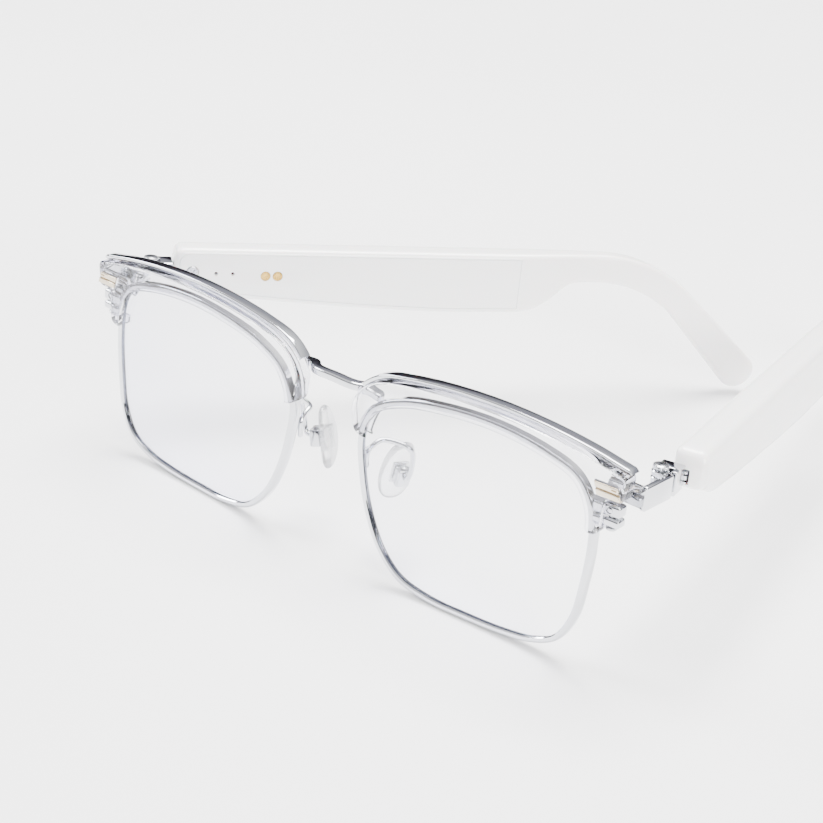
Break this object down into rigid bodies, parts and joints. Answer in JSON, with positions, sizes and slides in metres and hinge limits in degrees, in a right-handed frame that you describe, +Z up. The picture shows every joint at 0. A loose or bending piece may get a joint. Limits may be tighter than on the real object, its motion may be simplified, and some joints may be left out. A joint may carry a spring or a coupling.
{
  "type": "smart glasses",
  "caption": "Browline smart glasses with clear acetate brow bars, thin metal rims, rocking nose pads and folding hollow temples that hold the electronics.",
  "frame": {"origin": "middle of the footprint on the surface that the glasses stand on, rims and left temple tip down", "axes": "+X to the wearer's left, +Y from the front back along the temples, +Z up"},
  "size_m": [0.148, 0.1612, 0.048],
  "materials": {
    "chrome": "polished",
    "steel": "fine machined",
    "rivet": "satin pale gold",
    "gold": "polished gold",
    "lens": "clear, polished",
    "acetate": "clear, polished",
    "silicone": "clear, soft gloss",
    "temple_plastic": "high gloss warm white",
    "board": "satin green",
    "cell": "foil wrap",
    "black_plastic": "fine matte",
    "film": "satin amber"
  },
  "bodies": {
    "front": {"bridge": "chrome", "rim_left": "chrome", "rim_lock_screw_left": "steel", "lens_left": "lens", "brow_left": "acetate", "brow_trim_left": "chrome", "brow_rivet_left": "rivet", "pad_arm_left": "chrome", "pad_screw_left": "steel", "endpiece_left": "chrome", "hinge_screw_left": "steel", "rim_right": "chrome", "rim_lock_screw_right": "steel", "lens_right": "lens", "brow_right": "acetate", "brow_trim_right": "chrome", "brow_rivet_right": "rivet", "pad_arm_right": "chrome", "pad_screw_right": "steel", "endpiece_right": "chrome", "hinge_screw_right": "steel"},
    "nose_pad_left": {"nose_pad_left": "silicone", "pad_mount_left": "steel"},
    "nose_pad_right": {"nose_pad_right": "silicone", "pad_mount_right": "steel"},
    "temple_left": {"temple_hinge_left": "chrome", "temple_shell_left": "temple_plastic", "temple_cover_left": "temple_plastic", "cover_screw_left": "steel", "charge_contact_front_left": "gold", "charge_contact_rear_left": "gold", "circuit_board_left": "board", "battery_left": "cell", "speaker_left": "black_plastic", "microphone_left": "black_plastic", "touch_sensor_left": "film"},
    "temple_right": {"temple_hinge_right": "chrome", "temple_shell_right": "temple_plastic", "temple_cover_right": "temple_plastic", "cover_screw_right": "steel", "charge_contact_front_right": "gold", "charge_contact_rear_right": "gold", "circuit_board_right": "board", "battery_right": "cell", "speaker_right": "black_plastic", "microphone_right": "black_plastic", "touch_sensor_right": "film"}
  },
  "joints": [
    {"name": "temple_left_fold", "type": "hinge", "parent": "front", "child": "temple_left", "pos_m": [0.06825, -0.06279, 0.0374], "axis": [0, 0.0728, 0.9973], "range_deg": [-16, 2]},
    {"name": "temple_right_fold", "type": "hinge", "parent": "front", "child": "temple_right", "pos_m": [-0.07075, -0.06279, 0.0374], "axis": [0, -0.0728, -0.9973], "range_deg": [-42, 50]},
    {"name": "nose_pad_left_rock", "type": "hinge", "parent": "front", "child": "nose_pad_left", "pos_m": [0.01087, -0.06847, 0.01861], "axis": [0.2079, 0.0512, 0.9768], "range_deg": [-8, 8]},
    {"name": "nose_pad_right_rock", "type": "hinge", "parent": "front", "child": "nose_pad_right", "pos_m": [-0.01337, -0.06847, 0.01861], "axis": [0.2079, -0.0512, -0.9768], "range_deg": [-8, 8]}
  ]
}
